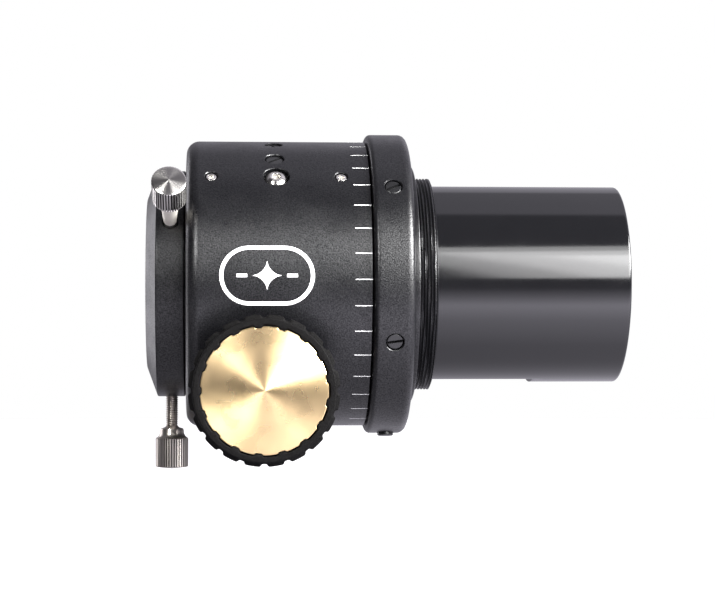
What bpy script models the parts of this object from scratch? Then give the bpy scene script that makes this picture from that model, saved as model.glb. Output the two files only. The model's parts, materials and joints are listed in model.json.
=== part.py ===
"""Rotatable 2-inch telescope focuser with a friction-driven drawtube.

Frame: metres. +X runs along the optical axis towards the telescope, +Z is up and the near knob is
on the -Y side. The origin is on the optical axis, in the collar's telescope-side face. The lengths
below are in millimetres; MM turns them into metres. Heights along X are written x, and angles
around the optical axis are degrees from the -Y side towards +Z.
"""

import math

import bpy
from mathutils import Matrix, Vector

MM = 0.001
GAP = 0.3                       # between pieces that touch on the real object
LARGE, MEDIUM, SMALL, TINY = 48, 24, 12, 8      # sides of a round piece

# Collar, thread adapter and the plain bearing that lets the housing turn
COLLAR_RADIUS = 47.9
COLLAR_LENGTH = 12.6
COLLAR_LIP = 2.4
NECK_RADIUS = 40.1
ADAPTER_BORE = 32.2
ADAPTER_SHOULDER = (38.0, 2.6)  # radius, x of the shoulder that meets the telescope
THREAD_RADIUS, THREAD_END = 34.0, 8.2
GLIDE_THICKNESS = 0.8
COLLAR_SCREW_X = -6.3
COLLAR_SCREW_ANGLES = [37 - 60 * i for i in range(6)]
COLLAR_SCREW_RADIUS = 2.5

# Housing
HOUSING_RADIUS = 45.5
HOUSING_BORE = 33.0
HOUSING_FRONT = -69.5
HOUSING_FILLET = 4.0
NECK_START = -(COLLAR_LENGTH + 0.4)
NECK_END = -(COLLAR_LIP + GLIDE_THICKNESS + 2 * GAP)

# Drawtube, steel track and eyepiece clamp
TUBE_RADIUS, TUBE_BORE = 31.5, 28.2
TUBE_FRONT, TUBE_BACK = -69.6, 68.5
TRACK_END = 40.8
TRACK_FLAT = -30.5              # z of the running surface
TRACK_HALF_WIDTH, TRACK_THICKNESS = 5.0, 0.8
TRACK_SCREW_RADIUS = 1.0
CLAMP_RADIUS = 36.0
CLAMP_BACK, CLAMP_EDGE, CLAMP_FRONT = -69.9, -78.6, -81.9
CLAMP_FACE_RADIUS = 27.0
EYEPIECE_BORE = 25.45
RING_GROOVE = 27.3
CLAMP_SCREW_X = -74.2
CLAMP_SCREW_ANGLES = (30, -90, 150)
CLAMP_HOLE = 2.3

# Roller carriers: two rows of rollers at 45 degrees either side of the top
ROW_ANGLES = {"near": 45, "far": 135}
ROLLER_X = (-61.7, -21.9)
ROLLER_RADIUS, ROLLER_WIDTH, AXLE_RADIUS = 4.0, 3.0, 1.5
ROLLER_CENTRE = TUBE_RADIUS + GAP + ROLLER_RADIUS
CARRIER_SPAN = (-66.9, -16.7)
CARRIER_INNER, CARRIER_OUTER, CARRIER_HALF_WIDTH = 33.2, 41.8, 4.7
CARRIER_SCREW_X = -41.8
BUTTON_RADIUS, COUNTERBORE_RADIUS, COUNTERBORE_FLOOR = 3.45, 4.0, 43.0
HOUSING_SCREWS = ((57, 2.7), (73, 2.5))   # angle, head radius

# Drive shaft under the tube, its knobs, and the two screws below it
SHAFT_RADIUS = 2.0
SHAFT_X = -46.0
SHAFT_Z = TRACK_FLAT - GAP - SHAFT_RADIUS
SHAFT_NEAR, SHAFT_FAR = 57.0, -62.0       # distances towards the near knob
BUSH_RADIUS, BUSH_SPAN = 6.0, (22.0, 37.6)
KNOB_BACK, KNOB_FRONT = 48.0, 61.0
KNOB_BOSS_RADIUS, CORE_RADIUS = 7.0, 19.0
RIB_COUNT, RIB_RADIUS, VALLEY_RADIUS = 20, 22.4, 21.5
FACE_RADIUS, FACE_FRONT = 18.9, 62.0
REDUCER_RADIUS, REDUCER_SPAN = 14.0, (58.3, 62.4)
FINE_SPAN, FINE_RADIUS = (62.7, 73.0), 11.0
SCREW_PITCH_RADIUS = 2.0                  # M4 shank
TENSION_X, LOCK_X = SHAFT_X, -34.5
PAD_TOP, PAD_BOTTOM = SHAFT_Z - SHAFT_RADIUS - GAP, -40.7
LOCK_TIP_TOP = -31.5

MATERIALS = {                   # colour, roughness, metallic
    "black_anodised": ((0.022, 0.022, 0.024), 0.42, 0.55),
    "gloss_black": ((0.010, 0.010, 0.011), 0.20, 0.50),
    "black_screw": ((0.015, 0.015, 0.016), 0.35, 0.60),
    "stainless": ((0.62, 0.61, 0.59), 0.24, 1.00),
    "track_steel": ((0.50, 0.50, 0.50), 0.30, 1.00),
    "brass": ((0.78, 0.56, 0.22), 0.28, 1.00),
    "bronze": ((0.48, 0.31, 0.16), 0.40, 1.00),
    "rubber": ((0.014, 0.014, 0.014), 0.75, 0.00),
    "white_plastic": ((0.82, 0.82, 0.79), 0.45, 0.00),
}


def clear_scene():
    for obj in list(bpy.data.objects):
        bpy.data.objects.remove(obj, do_unlink=True)


def new_collection(name, hidden):
    collection = bpy.data.collections.new(name)
    bpy.context.scene.collection.children.link(collection)
    collection.hide_render = hidden
    return collection


def make_material(name):
    colour, roughness, metallic = MATERIALS[name]
    material = bpy.data.materials.new(name)
    material.use_nodes = True
    shader = material.node_tree.nodes["Principled BSDF"]
    shader.inputs["Base Color"].default_value = (*colour, 1)
    shader.inputs["Roughness"].default_value = roughness
    shader.inputs["Metallic"].default_value = metallic
    material.diffuse_color = (*colour, 1)
    return material


def facing(point, direction):
    """Places an object at point, in mm, with its own +Z along direction."""
    turn = Vector(direction).to_track_quat("Z", "Y").to_matrix().to_4x4()
    return Matrix.Translation(Vector(point) * MM) @ turn


def along_x(x=0.0):
    return facing((x, 0, 0), (1, 0, 0))


def outward(x, angle, radius=0.0):
    """+Z runs outwards from the optical axis at this angle."""
    turned = math.radians(angle)
    direction = Vector((0, -math.cos(turned), math.sin(turned)))
    return facing((x, *(direction.yz * radius)), direction)


def on_shaft(towards=1, distance=0.0):
    """+Z runs along the drive shaft, towards the near knob for 1 and the far knob for -1."""
    return facing((SHAFT_X, -towards * distance, SHAFT_Z), (0, -towards, 0))


def add_object(name, data, matrix, material, collection):
    obj = bpy.data.objects.new(name, data)
    obj.matrix_world = matrix
    collection.objects.link(obj)
    if material:
        data.materials.append(material)
    else:
        obj.display_type = "WIRE"
        obj.hide_render = True
    return obj


def turned(name, outline, matrix, material, collection, segments=MEDIUM, closed=True):
    """Turns an outline of (radius, height) points about +Z. It runs down the outer side, and an
    outline that isn't closed starts and ends on the axis."""
    points = [(radius * MM, 0, height * MM) for radius, height in outline]
    edges = [(i, i + 1) for i in range(len(points) - 1)]
    if closed:
        edges.append((len(points) - 1, 0))
    mesh = bpy.data.meshes.new(name)
    mesh.from_pydata(points, edges, [])
    obj = add_object(name, mesh, matrix, material, collection)
    screw = obj.modifiers.new("turn", "SCREW")
    screw.steps = segments
    screw.render_steps = segments
    screw.use_merge_vertices = True
    screw.merge_threshold = 0.00001
    screw.use_smooth_shade = True
    return obj


def cylinder_outline(radius, bottom, top, chamfer=0.0):
    """Outline of a plain solid cylinder, chamfered at both ends."""
    if not chamfer:
        return [(0, top), (radius, top), (radius, bottom), (0, bottom)]
    return [
        (0, top),
        (radius - chamfer, top),
        (radius, top - chamfer),
        (radius, bottom + chamfer),
        (radius - chamfer, bottom),
        (0, bottom),
    ]


def ring_outline(outer, inner, bottom, top, chamfer=0.0):
    """Outline of a plain ring, with its outer corners chamfered."""
    if not chamfer:
        return [(outer, top), (outer, bottom), (inner, bottom), (inner, top)]
    return [
        (outer - chamfer, top),
        (outer, top - chamfer),
        (outer, bottom + chamfer),
        (outer - chamfer, bottom),
        (inner, bottom),
        (inner, top),
    ]


class Workshop:
    """Adds parts and cuts them."""

    def __init__(self):
        clear_scene()
        self.parts = new_collection("telescope_focuser", hidden=False)
        self.cutters = new_collection("cutters", hidden=True)
        self.materials = {name: make_material(name) for name in MATERIALS}

    def turn(self, name, outline, matrix, material, segments=MEDIUM, closed=True):
        return turned(name, outline, matrix, self.materials[material], self.parts, segments, closed)

    def rod(self, name, radius, bottom, top, matrix, material, segments=SMALL, chamfer=0.0):
        outline = cylinder_outline(radius, bottom, top, chamfer)
        return self.turn(name, outline, matrix, material, segments, closed=False)

    def box(self, name, low, high, matrix, material):
        return self.add_box(name, low, high, matrix, self.materials[material], self.parts)

    def add_box(self, name, low, high, matrix, material, collection):
        low, high = Vector(low) * MM, Vector(high) * MM
        bpy.ops.mesh.primitive_cube_add(size=1)
        obj = bpy.context.object
        obj.name = name
        sized = Matrix.Translation((low + high) / 2) @ Matrix.Diagonal((*(high - low), 1))
        obj.data.transform(sized)
        obj.matrix_world = matrix
        for owner in list(obj.users_collection):
            owner.objects.unlink(obj)
        collection.objects.link(obj)
        if material:
            obj.data.materials.append(material)
        else:
            obj.display_type = "WIRE"
            obj.hide_render = True
        return obj

    def cut(self, part, cutter):
        boolean = part.modifiers.new("cut_" + cutter.name, "BOOLEAN")
        boolean.operation = "DIFFERENCE"
        boolean.object = cutter

    def cut_box(self, part, name, low, high, matrix=Matrix()):
        self.cut(part, self.add_box(name, low, high, matrix, None, self.cutters))

    def cut_hole(self, part, name, radius, bottom, top, matrix, segments=SMALL):
        outline = cylinder_outline(radius, bottom, top)
        self.cut(part, turned(name, outline, matrix, None, self.cutters, segments, closed=False))

    def cut_stepped_hole(self, part, name, wide, step, narrow, bottom, matrix, segments=SMALL):
        """A hole of radius narrow from bottom up to step, and of radius wide from there out."""
        top = 50
        outline = [(0, top), (wide, top), (wide, step), (narrow, step), (narrow, bottom), (0, bottom)]
        self.cut(part, turned(name, outline, matrix, None, self.cutters, segments, closed=False))

    def bevel(self, part, width, segments=1):
        bevel = part.modifiers.new("edges", "BEVEL")
        bevel.width = width * MM
        bevel.segments = segments
        bevel.limit_method = "ANGLE"

    def ribbed_ring(self, name, hole_radius, bottom, top, matrix, material):
        """An extruded ring whose outside has evenly spaced ribs."""
        curve = bpy.data.curves.new(name, "CURVE")
        curve.dimensions = "2D"
        curve.fill_mode = "BOTH"
        curve.extrude = (top - bottom) / 2 * MM
        rib = 2 * math.pi / RIB_COUNT
        corners = ((-0.34, VALLEY_RADIUS), (-0.2, RIB_RADIUS), (0.2, RIB_RADIUS), (0.34, VALLEY_RADIUS))
        outside = [(rib * (i + share), radius) for i in range(RIB_COUNT) for share, radius in corners]
        hole = [(rib * i / 3, hole_radius) for i in range(3 * RIB_COUNT)]
        for loop in (outside, hole):
            spline = curve.splines.new("POLY")
            spline.points.add(len(loop) - 1)
            for point, (angle, radius) in zip(spline.points, loop):
                point.co = (radius * math.cos(angle) * MM, radius * math.sin(angle) * MM, 0, 1)
            spline.use_cyclic_u = True
        middle = Matrix.Translation((0, 0, (top + bottom) / 2 * MM))
        add_object(name, curve, matrix @ middle, self.materials[material], self.parts)


def make_collar(shop):
    collar = shop.turn("collar_ring", [
        (COLLAR_RADIUS - 1.8, 0),
        (COLLAR_RADIUS, -1.8),
        (COLLAR_RADIUS, -COLLAR_LENGTH + 0.8),
        (COLLAR_RADIUS - 0.8, -COLLAR_LENGTH),
        (NECK_RADIUS + GAP, -COLLAR_LENGTH),
        (NECK_RADIUS + GAP, -COLLAR_LIP),
        (35.3, -COLLAR_LIP),
        (35.3, 0),
    ], along_x(), "black_anodised", LARGE)
    shoulder_radius, shoulder_x = ADAPTER_SHOULDER
    shop.turn("thread_adapter", [
        (THREAD_RADIUS - 0.8, THREAD_END),
        (THREAD_RADIUS, THREAD_END - 0.8),
        (THREAD_RADIUS, shoulder_x),
        (shoulder_radius, shoulder_x),
        (shoulder_radius, GAP),
        (35.0, GAP),
        (35.0, -COLLAR_LIP),
        (ADAPTER_BORE, -COLLAR_LIP),
        (ADAPTER_BORE, THREAD_END),
    ], along_x(), "black_anodised", LARGE)
    glide_top = -(COLLAR_LIP + GAP)
    glide = ring_outline(NECK_RADIUS - GAP, 35.3, glide_top - GLIDE_THICKNESS, glide_top)
    shop.turn("glide_ring", glide, along_x(), "white_plastic", LARGE)
    for number, angle in enumerate(COLLAR_SCREW_ANGLES, start=1):
        make_collar_screw(shop, collar, number, angle)


def make_collar_screw(shop, collar, number, angle):
    """A slotted screw whose cone rides in the neck's groove. The lowest stands proud."""
    place = outward(COLLAR_SCREW_X, angle)
    top = COLLAR_RADIUS + 1.0 if angle == -83 else COLLAR_RADIUS - 0.5
    screw = shop.turn(f"collar_screw_{number}", [
        (0, top),
        (COLLAR_SCREW_RADIUS - 0.4, top),
        (COLLAR_SCREW_RADIUS, top - 0.4),
        (COLLAR_SCREW_RADIUS, 43.2),
        (1.5, 42.7),
        (1.5, 40.8),
        (0, 39.6),
    ], place, "black_screw", SMALL, closed=False)
    shop.cut_box(screw, f"slot_{number}", (-4, -0.35, top - 1.2), (4, 0.35, top + 1), place)
    hole = COLLAR_SCREW_RADIUS + GAP
    shop.cut_stepped_hole(collar, f"screw_hole_{number}", hole, 42.4, 1.8, 38, place)


def make_housing(shop):
    fillet_centre = (HOUSING_RADIUS - HOUSING_FILLET, HOUSING_FRONT + HOUSING_FILLET)
    fillet = [
        (
            fillet_centre[0] + HOUSING_FILLET * math.cos(math.radians(turn)),
            fillet_centre[1] - HOUSING_FILLET * math.sin(math.radians(turn)),
        )
        for turn in (0, 30, 60, 90)
    ]
    groove = 1.6
    housing = shop.turn("focuser_housing", [
        (NECK_RADIUS, NECK_END),
        (NECK_RADIUS, COLLAR_SCREW_X + groove),
        (NECK_RADIUS - groove, COLLAR_SCREW_X),
        (NECK_RADIUS, COLLAR_SCREW_X - groove),
        (NECK_RADIUS, NECK_START),
        (HOUSING_RADIUS, NECK_START),
        *fillet,
        (HOUSING_BORE, HOUSING_FRONT),
        (HOUSING_BORE, NECK_END),
    ], along_x(), "black_anodised", LARGE)
    for side, angle in ROW_ANGLES.items():
        cut_carrier_pocket(shop, housing, side, angle)
    for number, (angle, radius) in enumerate(HOUSING_SCREWS, start=1):
        make_housing_screw(shop, housing, number, angle, radius)
    shop.cut_hole(housing, "shaft_hole", BUSH_RADIUS + GAP, -50, 50, on_shaft(), MEDIUM)
    shop.cut_box(housing, "pad_pocket", (-6, -9, -41), (6, 9, -28), Matrix.Translation((SHAFT_X * MM, 0, 0)))
    for name, x in (("tension_hole", TENSION_X), ("lock_hole", LOCK_X)):
        shop.cut_hole(housing, name, SCREW_PITCH_RADIUS + GAP, 28, 50, outward(x, -90))


def cut_carrier_pocket(shop, housing, side, angle):
    place = outward(0, angle)
    across = CARRIER_HALF_WIDTH + 0.6
    low = (CARRIER_SPAN[0] - 0.4, -across, 28)
    high = (CARRIER_SPAN[1] + 0.4, across, CARRIER_OUTER + 0.4)
    upright = radial_box_frame(place)
    shop.cut_box(housing, f"carrier_pocket_{side}", low, high, upright)
    for number, x in enumerate(ROLLER_X, start=1):
        shop.cut_hole(housing, f"set_screw_hole_{side}_{number}", 1.95, 38, 50, outward(x, angle))
    head = outward(CARRIER_SCREW_X, angle)
    hole, floor = COUNTERBORE_RADIUS, COUNTERBORE_FLOOR
    shop.cut_stepped_hole(housing, f"counterbore_{side}", hole, floor, AXLE_RADIUS + GAP, 38, head, MEDIUM)


def radial_box_frame(place):
    """The same place with its own X along the optical axis, so that a box lines up with the tube."""
    outwards = place.to_quaternion() @ Vector((0, 0, 1))
    along = Vector((1, 0, 0))
    across = outwards.cross(along)
    turn = Matrix((along, across, outwards)).transposed().to_4x4()
    return Matrix.Translation(place.translation) @ turn


def make_housing_screw(shop, housing, number, angle, radius):
    """A black slotted screw with its head just below the surface."""
    place = outward(CARRIER_SCREW_X - 0.4, angle)
    top = HOUSING_RADIUS - 0.6
    name = f"housing_screw_{number}"
    screw = shop.rod(name, radius, top - 4, top, place, "black_screw", chamfer=0.3)
    shop.cut_box(screw, f"housing_slot_{number}", (-4, -0.4, top - 1.1), (4, 0.4, top + 1), place)
    shop.cut_hole(housing, f"housing_hole_{number}", radius + GAP, top - 4 - GAP, 50, place)


def make_rollers(shop, side, angle):
    """One carrier bar with two rollers, their axles, and the screws that hold and adjust it."""
    upright = radial_box_frame(outward(0, angle))
    low = (CARRIER_SPAN[0], -CARRIER_HALF_WIDTH, CARRIER_INNER)
    high = (CARRIER_SPAN[1], CARRIER_HALF_WIDTH, CARRIER_OUTER)
    carrier = shop.box(f"roller_carrier_{side}", low, high, upright, "black_anodised")
    across = outward(0, angle - 90)
    sideways = across.to_quaternion() @ Vector((0, 0, 1))
    for number, x in enumerate(ROLLER_X, start=1):
        slot_reach = ROLLER_RADIUS + 0.45
        half = ROLLER_WIDTH / 2 + GAP
        shop.cut_box(
            carrier,
            f"roller_slot_{side}_{number}",
            (x - slot_reach, -half, 30),
            (x + slot_reach, half, ROLLER_CENTRE + slot_reach),
            upright,
        )
        centre = outward(x, angle, ROLLER_CENTRE).translation / MM
        place = facing(centre, sideways)
        hole = f"axle_hole_{side}_{number}"
        shop.cut_hole(carrier, hole, AXLE_RADIUS + GAP, -8, 8, place)
        half_length = CARRIER_HALF_WIDTH - 0.2
        shop.rod(
            f"roller_axle_{side}_{number}", AXLE_RADIUS, -half_length, half_length, place, "stainless", TINY
        )
        half = ROLLER_WIDTH / 2
        shop.turn(
            f"roller_{side}_{number}",
            ring_outline(ROLLER_RADIUS, AXLE_RADIUS + GAP, -half, half, chamfer=0.25),
            place,
            "stainless",
        )
        make_set_screw(shop, f"carrier_set_screw_{side}_{number}", outward(x, angle))
    head = outward(CARRIER_SCREW_X, angle)
    shop.cut_hole(carrier, f"carrier_tap_{side}", AXLE_RADIUS + GAP, 36.4, 45, head)
    make_button_screw(shop, f"carrier_screw_{side}", head)


def make_set_screw(shop, name, place):
    """A small set screw that bears on the back of the roller carrier."""
    top = HOUSING_RADIUS - 0.4
    screw = shop.rod(name, 1.65, CARRIER_OUTER + GAP, top, place, "stainless", TINY, chamfer=0.2)
    shop.cut_hole(screw, "socket_" + name, 0.9, top - 1.2, top + 1, place, 6)


def make_button_screw(shop, name, place):
    """A button-head screw with a hexagon socket, down in its counterbore."""
    seat = COUNTERBORE_FLOOR + GAP
    screw = shop.turn(name, [
        (0, seat + 2.1),
        (1.9, seat + 2.0),
        (2.9, seat + 1.4),
        (BUTTON_RADIUS, seat + 0.3),
        (BUTTON_RADIUS, seat),
        (AXLE_RADIUS, seat),
        (AXLE_RADIUS, 36.8),
        (0, 36.8),
    ], place, "stainless", closed=False)
    shop.cut_hole(screw, "socket_" + name, 1.2, seat + 0.8, seat + 3, place, 6)


def make_drawtube(shop):
    tube = shop.turn("drawtube", [
        (TUBE_RADIUS - 0.8, TUBE_BACK),
        (TUBE_RADIUS, TUBE_BACK - 0.8),
        (TUBE_RADIUS, TUBE_FRONT),
        (TUBE_BORE, TUBE_FRONT),
        (TUBE_BORE, TUBE_BACK),
    ], along_x(), "gloss_black", LARGE)
    shop.cut_box(tube, "track_flat", (TUBE_FRONT - 5, -12, -40), (TRACK_END, 12, TRACK_FLAT))
    slot_floor = TRACK_FLAT + TRACK_THICKNESS + GAP
    across = TRACK_HALF_WIDTH + GAP
    shop.cut_box(tube, "track_slot", (TUBE_FRONT - 5, -across, -40), (TRACK_END, across, slot_floor))
    track_low = (TUBE_FRONT + 0.6, -TRACK_HALF_WIDTH, TRACK_FLAT)
    track_high = (TRACK_END - GAP, TRACK_HALF_WIDTH, TRACK_FLAT + TRACK_THICKNESS)
    track = shop.box("track_strip", track_low, track_high, Matrix(), "track_steel")
    place = outward(TRACK_END - 2.4, -90)
    hole = TRACK_SCREW_RADIUS + GAP
    shop.cut_hole(track, "screw_hole_track", hole, 25, 40, place)
    shop.cut_hole(tube, "screw_hole_tube", hole, 25, 40, place)
    top = 0.1 - TRACK_FLAT
    shop.rod("track_screw", TRACK_SCREW_RADIUS, TUBE_BORE + 0.4, top, place, "stainless", TINY, chamfer=0.15)


def make_clamp(shop):
    spigot = TUBE_BORE - GAP
    clamp = shop.turn("clamp_body", [
        (spigot, CLAMP_BACK + 9),
        (spigot, CLAMP_BACK),
        (CLAMP_RADIUS - 0.5, CLAMP_BACK),
        (CLAMP_RADIUS, CLAMP_BACK - 0.5),
        (CLAMP_RADIUS, CLAMP_EDGE),
        (CLAMP_FACE_RADIUS, CLAMP_FRONT),
        (EYEPIECE_BORE, CLAMP_FRONT),
        (EYEPIECE_BORE, CLAMP_SCREW_X - 4),
        (RING_GROOVE, CLAMP_SCREW_X - 4),
        (RING_GROOVE, CLAMP_SCREW_X + 4),
        (EYEPIECE_BORE, CLAMP_SCREW_X + 4),
        (EYEPIECE_BORE, CLAMP_BACK + 9),
    ], along_x(), "black_anodised", LARGE)
    ring = ring_outline(RING_GROOVE - GAP, EYEPIECE_BORE + 0.15, -3.6, 3.6)
    ring_part = shop.turn("compression_ring", ring, along_x(CLAMP_SCREW_X), "brass", LARGE)
    shop.cut_box(ring_part, "ring_split", (-6, -1, 20), (6, 1, 32), along_x_upright(CLAMP_SCREW_X))
    for number, angle in enumerate(CLAMP_SCREW_ANGLES, start=1):
        place = outward(CLAMP_SCREW_X, angle)
        shop.cut_hole(clamp, f"clamp_hole_{number}", CLAMP_HOLE, 26.4, 40, place)
        tip_low = RING_GROOVE + 2.1
        shop.rod(f"clamp_tip_{number}", 1.9, tip_low, tip_low + 1.8, place, "brass", TINY, chamfer=0.3)
        make_clamp_screw(shop, number, place, tip_low + 1.8 + GAP)


def along_x_upright(x):
    return Matrix.Translation((x * MM, 0, 0))


def make_clamp_screw(shop, number, place, shank_end):
    """A long thumbscrew with a tall cylindrical head. The first has a plain tapered neck, and the
    others have a coned shoulder and a threaded shank."""
    coned_shoulder = [(4.7, 48.5), (3.7, 47.6), (3.6, 45.7), (1.95, 45.7)]
    tapered_neck = [(2.6, 48.5), (2.45, 45.0), (2.2, 41.0), (1.95, 37.5)]
    shop.turn(f"clamp_thumbscrew_{number}", [
        (0, 59.2),
        (4.6, 58.9),
        (5.25, 58.3),
        (5.25, 49.1),
        *(tapered_neck if number == 1 else coned_shoulder),
        (1.95, shank_end),
        (0, shank_end),
    ], place, "stainless", closed=False)


def make_shaft(shop):
    shop.rod("drive_shaft", SHAFT_RADIUS, SHAFT_FAR, SHAFT_NEAR, on_shaft(), "stainless", chamfer=0.3)
    for side, towards in (("near", 1), ("far", -1)):
        bush = ring_outline(BUSH_RADIUS, SHAFT_RADIUS + GAP, *BUSH_SPAN)
        shop.turn(f"shaft_bush_{side}", bush, on_shaft(towards), "bronze")
        shop.turn(f"knob_core_{side}", [
            (CORE_RADIUS, KNOB_BACK + 10),
            (CORE_RADIUS, KNOB_BACK),
            (KNOB_BOSS_RADIUS, KNOB_BACK),
            (KNOB_BOSS_RADIUS, BUSH_SPAN[1] + GAP),
            (SHAFT_RADIUS + GAP, BUSH_SPAN[1] + GAP),
            (SHAFT_RADIUS + GAP, KNOB_BACK + 10),
        ], on_shaft(towards), "black_anodised")
        grip_hole = CORE_RADIUS + GAP
        place = on_shaft(towards)
        shop.ribbed_ring(f"knob_grip_{side}", grip_hole, KNOB_BACK, KNOB_FRONT, place, "rubber")
    shop.turn("knob_face_near", [
        (0, FACE_FRONT),
        (FACE_RADIUS - 0.6, FACE_FRONT - 0.9),
        (FACE_RADIUS, FACE_FRONT - 1.5),
        (FACE_RADIUS, KNOB_BACK + 10 + GAP),
        (0, KNOB_BACK + 10 + GAP),
    ], on_shaft(), "brass", LARGE, closed=False)


def make_fine_drive(shop):
    """The ten-to-one reducer on the far coarse knob, and its own smaller knob."""
    reducer = ring_outline(REDUCER_RADIUS, SHAFT_RADIUS + GAP, *REDUCER_SPAN, chamfer=0.5)
    shop.turn("reducer_body", reducer, on_shaft(-1), "black_anodised")
    back, front = FINE_SPAN
    shop.turn("fine_knob", [
        (0, front),
        (FINE_RADIUS - 3.2, front - 0.4),
        (FINE_RADIUS - 2.2, front - 1.2),
        (FINE_RADIUS - 2.2, back + 0.6),
        (FINE_RADIUS - 2.8, back),
        (0, back),
    ], on_shaft(-1), "brass", closed=False)
    grip = ring_outline(FINE_RADIUS, FINE_RADIUS - 2.2 + GAP, back + 1, front - 1.5, chamfer=0.5)
    shop.turn("fine_knob_grip", grip, on_shaft(-1), "rubber")


def make_pressure_pad(shop):
    place = Matrix.Translation((SHAFT_X * MM, 0, 0))
    pad = shop.box("pressure_pad", (-5.7, -8.7, PAD_BOTTOM), (5.7, 8.7, PAD_TOP), place, "white_plastic")
    shop.bevel(pad, 0.4)


def make_bottom_screw(shop, name, x, tip_top, tip_length):
    """A short thumbscrew under the housing, with a separate brass tip."""
    place = outward(x, -90)
    inner = -tip_top
    shop.rod(f"{name}_tip", 1.8, inner, inner + tip_length, place, "brass", TINY, chamfer=0.2)
    shop.turn(f"{name}_screw", [
        (0, 53.0),
        (4.1, 52.8),
        (4.5, 52.4),
        (4.5, 47.8),
        (4.1, 47.4),
        (2.6, 46.8),
        (SCREW_PITCH_RADIUS - 0.05, 46.8),
        (SCREW_PITCH_RADIUS - 0.05, inner + tip_length + GAP),
        (0, inner + tip_length + GAP),
    ], place, "black_screw", SMALL, closed=False)


def bake(shop):
    """Makes each part a plain mesh: smooth on its round faces, with its real edges kept sharp."""
    bpy.context.view_layer.update()
    graph = bpy.context.evaluated_depsgraph_get()
    made = {}
    for obj in shop.parts.objects:
        if obj.type == "MESH":
            made[obj.name] = bpy.data.meshes.new_from_object(obj.evaluated_get(graph))
    for name, mesh in made.items():
        obj = shop.parts.objects[name]
        obj.modifiers.clear()
        obj.data = mesh
        mesh.name = name
        mesh.shade_smooth()
        mesh.set_sharp_from_angle(angle=math.radians(30))


def main():
    shop = Workshop()
    make_collar(shop)
    make_housing(shop)
    for side, angle in ROW_ANGLES.items():
        make_rollers(shop, side, angle)
    make_drawtube(shop)
    make_clamp(shop)
    make_shaft(shop)
    make_fine_drive(shop)
    make_pressure_pad(shop)
    make_bottom_screw(shop, "tension", TENSION_X, -41.0, 1.5)
    make_bottom_screw(shop, "lock", LOCK_X, LOCK_TIP_TOP, 2.0)
    bake(shop)


main()
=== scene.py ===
"""Studio view of the rotatable telescope focuser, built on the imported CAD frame.

The frame is the CAD's: +X runs along the optical axis towards the telescope, +Z is up, the near
knob is on the -Y side, and the origin is in the collar's telescope-side face. Lengths are in
millimetres unless their name says otherwise; MM turns them into metres. Angles around the optical
axis are degrees from the -Y side towards +Z.
"""

import json
import math

import bpy
from mathutils import Matrix, Vector

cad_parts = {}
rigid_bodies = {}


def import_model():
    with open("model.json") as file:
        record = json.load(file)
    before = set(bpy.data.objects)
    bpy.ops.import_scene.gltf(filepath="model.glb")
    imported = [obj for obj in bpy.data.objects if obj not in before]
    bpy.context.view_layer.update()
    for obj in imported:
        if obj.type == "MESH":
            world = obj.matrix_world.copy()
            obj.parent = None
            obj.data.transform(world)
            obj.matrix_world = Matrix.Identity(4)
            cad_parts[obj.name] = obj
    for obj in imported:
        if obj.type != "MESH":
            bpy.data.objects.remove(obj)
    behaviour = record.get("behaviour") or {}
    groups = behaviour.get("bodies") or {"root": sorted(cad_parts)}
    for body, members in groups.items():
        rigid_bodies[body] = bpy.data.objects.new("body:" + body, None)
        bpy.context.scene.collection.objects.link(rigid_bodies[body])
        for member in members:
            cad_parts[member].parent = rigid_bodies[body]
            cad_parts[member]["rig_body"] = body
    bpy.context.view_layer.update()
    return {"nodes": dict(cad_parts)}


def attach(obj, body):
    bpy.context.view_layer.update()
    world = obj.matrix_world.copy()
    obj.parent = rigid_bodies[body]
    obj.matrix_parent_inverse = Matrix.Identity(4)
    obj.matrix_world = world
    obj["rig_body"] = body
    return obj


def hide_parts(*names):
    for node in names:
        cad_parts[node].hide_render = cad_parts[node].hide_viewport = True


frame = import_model()

MM = 0.001
FINE, ROUND, SMALL = 192, 96, 48        # sides of a round piece

# Collar and thread
COLLAR_RADIUS, COLLAR_LENGTH, COLLAR_LIP = 47.9, 12.6, 2.4
THREAD_RADIUS, THREAD_DEPTH, THREAD_PITCH = 34.0, 0.6, 1.0
COLLAR_SCREW_X = -6.3
COLLAR_SCREW_PROUD = -83                # the screw at this angle stands proud of the collar
COLLAR_SCREW_TURNS = {37: 28, -23: 8, -83: 20, -143: 75, -203: 140, -263: 10}      # slot's turn

# Housing
HOUSING_RADIUS, HOUSING_BORE = 45.5, 33.0
HOUSING_FRONT, HOUSING_BACK = -69.5, -3.8
NECK_RADIUS, NECK_START = 40.1, -13.0
CARRIER_SPAN = (-67.3, -16.3)
CARRIER_HALF_WIDTH, CARRIER_TOP = 5.3, 42.2
ROLLER_X, CARRIER_SCREW_X = (-61.7, -21.9), -41.8
ROW_ANGLES = {"near": 45, "far": 135}
HOUSING_SCREWS = ((57, 2.7, 38), (73, 2.5, -70))     # angle, head radius, turn of the slot
TICK_COUNT, TICK_START, TICK_SPAN, TICK_WIDTH = 36, 0.3, (-18.3, -13.15), 0.28
PRINT_HEIGHT = 0.03
MARK_X, MARK_ANGLE, MARK_LENGTH, MARK_HEIGHT, MARK_LINE = -44.9, 1.7, 28.6, 18.0, 1.15

# Drawtube and eyepiece clamp
TUBE_RADIUS, TUBE_BORE = 31.5, 28.2
TUBE_FRONT, TUBE_BACK = -69.6, 68.5
TRACK_END, TRACK_FLAT, TRACK_SLOT_HALF = 40.8, -30.5, 5.3
CLAMP_RADIUS, CLAMP_BACK, CLAMP_EDGE, CLAMP_FRONT = 36.0, -69.9, -78.6, -81.9
EYEPIECE_BORE, RING_GROOVE = 25.45, 27.3
CLAMP_SCREW_X, CLAMP_SCREW_ANGLES = -74.2, (30, -90, 150)

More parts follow.
